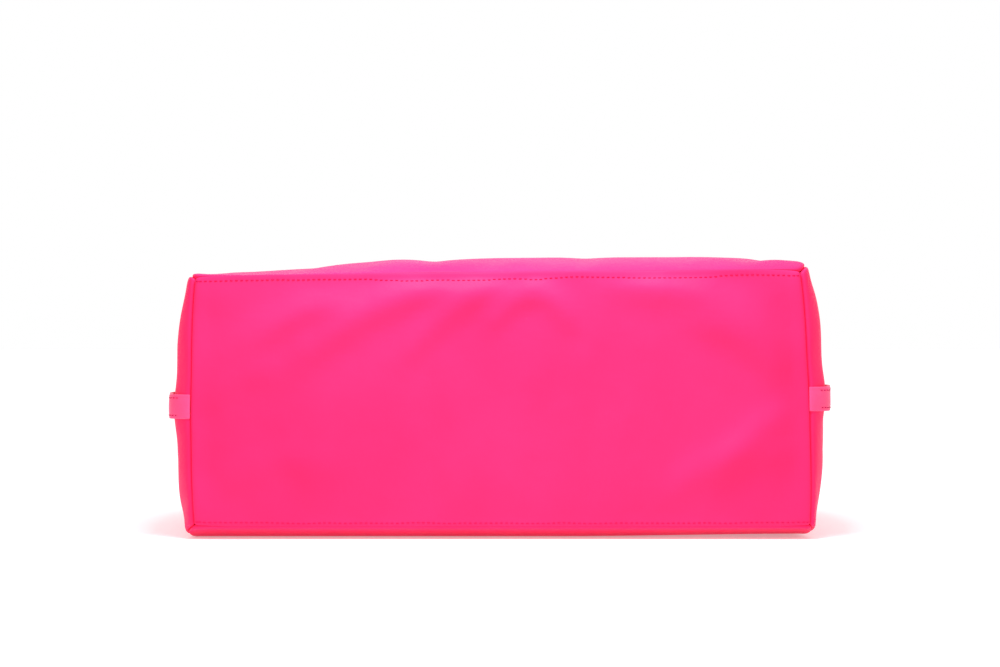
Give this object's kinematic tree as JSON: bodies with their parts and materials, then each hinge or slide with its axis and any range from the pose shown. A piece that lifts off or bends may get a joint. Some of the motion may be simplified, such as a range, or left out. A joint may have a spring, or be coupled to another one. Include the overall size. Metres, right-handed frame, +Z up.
{
  "type": "beach bag",
  "caption": "Large soft nylon beach tote lying on its back panel, with boxed base, side straps with D rings, swinging rolled handles and an inside zip pocket.",
  "frame": {"origin": "middle of the flat back panel, on the floor that the bag lies on", "axes": "+X across the bag to its right end seen from the base, +Y from the base panel to the open rim, +Z up through the front panel"},
  "size_m": [0.5396, 0.6033, 0.218],
  "materials": {
    "pink_nylon": "coated nylon, soft satin",
    "pink_leather": "smooth leather, edge painted",
    "facing": "doubled coated nylon",
    "lining": "thin woven lining",
    "foam": "soft foam",
    "zip_tape": "woven tape",
    "zip_teeth": "moulded",
    "nickel": "polished nickel"
  },
  "bodies": {
    "bag": {"base_panel": "pink_nylon", "base_foam_pad": "foam", "front_panel": "pink_nylon", "back_panel": "pink_nylon", "left_gusset": "pink_nylon", "right_gusset": "pink_nylon", "rim_facing": "facing", "lining_bag": "lining", "left_side_strap": "pink_leather", "right_side_strap": "pink_leather", "left_strap_rivet": "nickel", "right_strap_rivet": "nickel", "front_handle_tab_left": "pink_leather", "front_handle_tab_right": "pink_leather", "back_handle_tab_left": "pink_leather", "back_handle_tab_right": "pink_leather", "handle_tab_rivets": "nickel", "pocket_pouch": "lining", "pocket_zip_tape": "zip_tape", "pocket_welt": "lining", "pocket_zip_teeth_upper": "zip_teeth", "pocket_zip_teeth_lower": "zip_teeth", "pocket_zip_end_stops": "nickel", "magnet_snap_socket": "nickel", "magnet_snap_stud": "nickel"},
    "front_handle_loop": {"front_handle": "pink_leather", "front_handle_ring_left": "nickel", "front_handle_ring_right": "nickel"},
    "back_handle_loop": {"back_handle": "pink_leather", "back_handle_ring_left": "nickel", "back_handle_ring_right": "nickel"},
    "left_dee": {"left_dee_ring": "nickel"},
    "right_dee": {"right_dee_ring": "nickel"},
    "zip_slider": {"pocket_zip_slider": "nickel"},
    "zip_pull": {"pocket_zip_pull": "nickel"}
  },
  "joints": [
    {"name": "front_handle_swing", "type": "hinge", "parent": "bag", "child": "front_handle_loop", "pos_m": [0, 0.16881, 0.18693], "axis": [1, 0, 0], "range_deg": [0, 190]},
    {"name": "back_handle_swing", "type": "hinge", "parent": "bag", "child": "back_handle_loop", "pos_m": [0, 0.16914, 0.0064], "axis": [1, 0, 0], "range_deg": [-150, 8]},
    {"name": "left_dee_swing", "type": "hinge", "parent": "bag", "child": "left_dee", "pos_m": [-0.25351, 0.15, 0.102], "axis": [0, 0, 1], "range_deg": [0, 150]},
    {"name": "right_dee_swing", "type": "hinge", "parent": "bag", "child": "right_dee", "pos_m": [0.25351, 0.15, 0.108], "axis": [0, 0, -1], "range_deg": [0, 150]},
    {"name": "pocket_slider_slide", "type": "slide", "parent": "bag", "child": "zip_slider", "axis": [1, 0, 0], "range_m": [0, 0.152]},
    {"name": "pocket_pull_swing", "type": "hinge", "parent": "zip_slider", "child": "zip_pull", "pos_m": [-0.076, 0.0343, 0.0081], "axis": [0, -1, 0], "range_deg": [0, 165]}
  ]
}
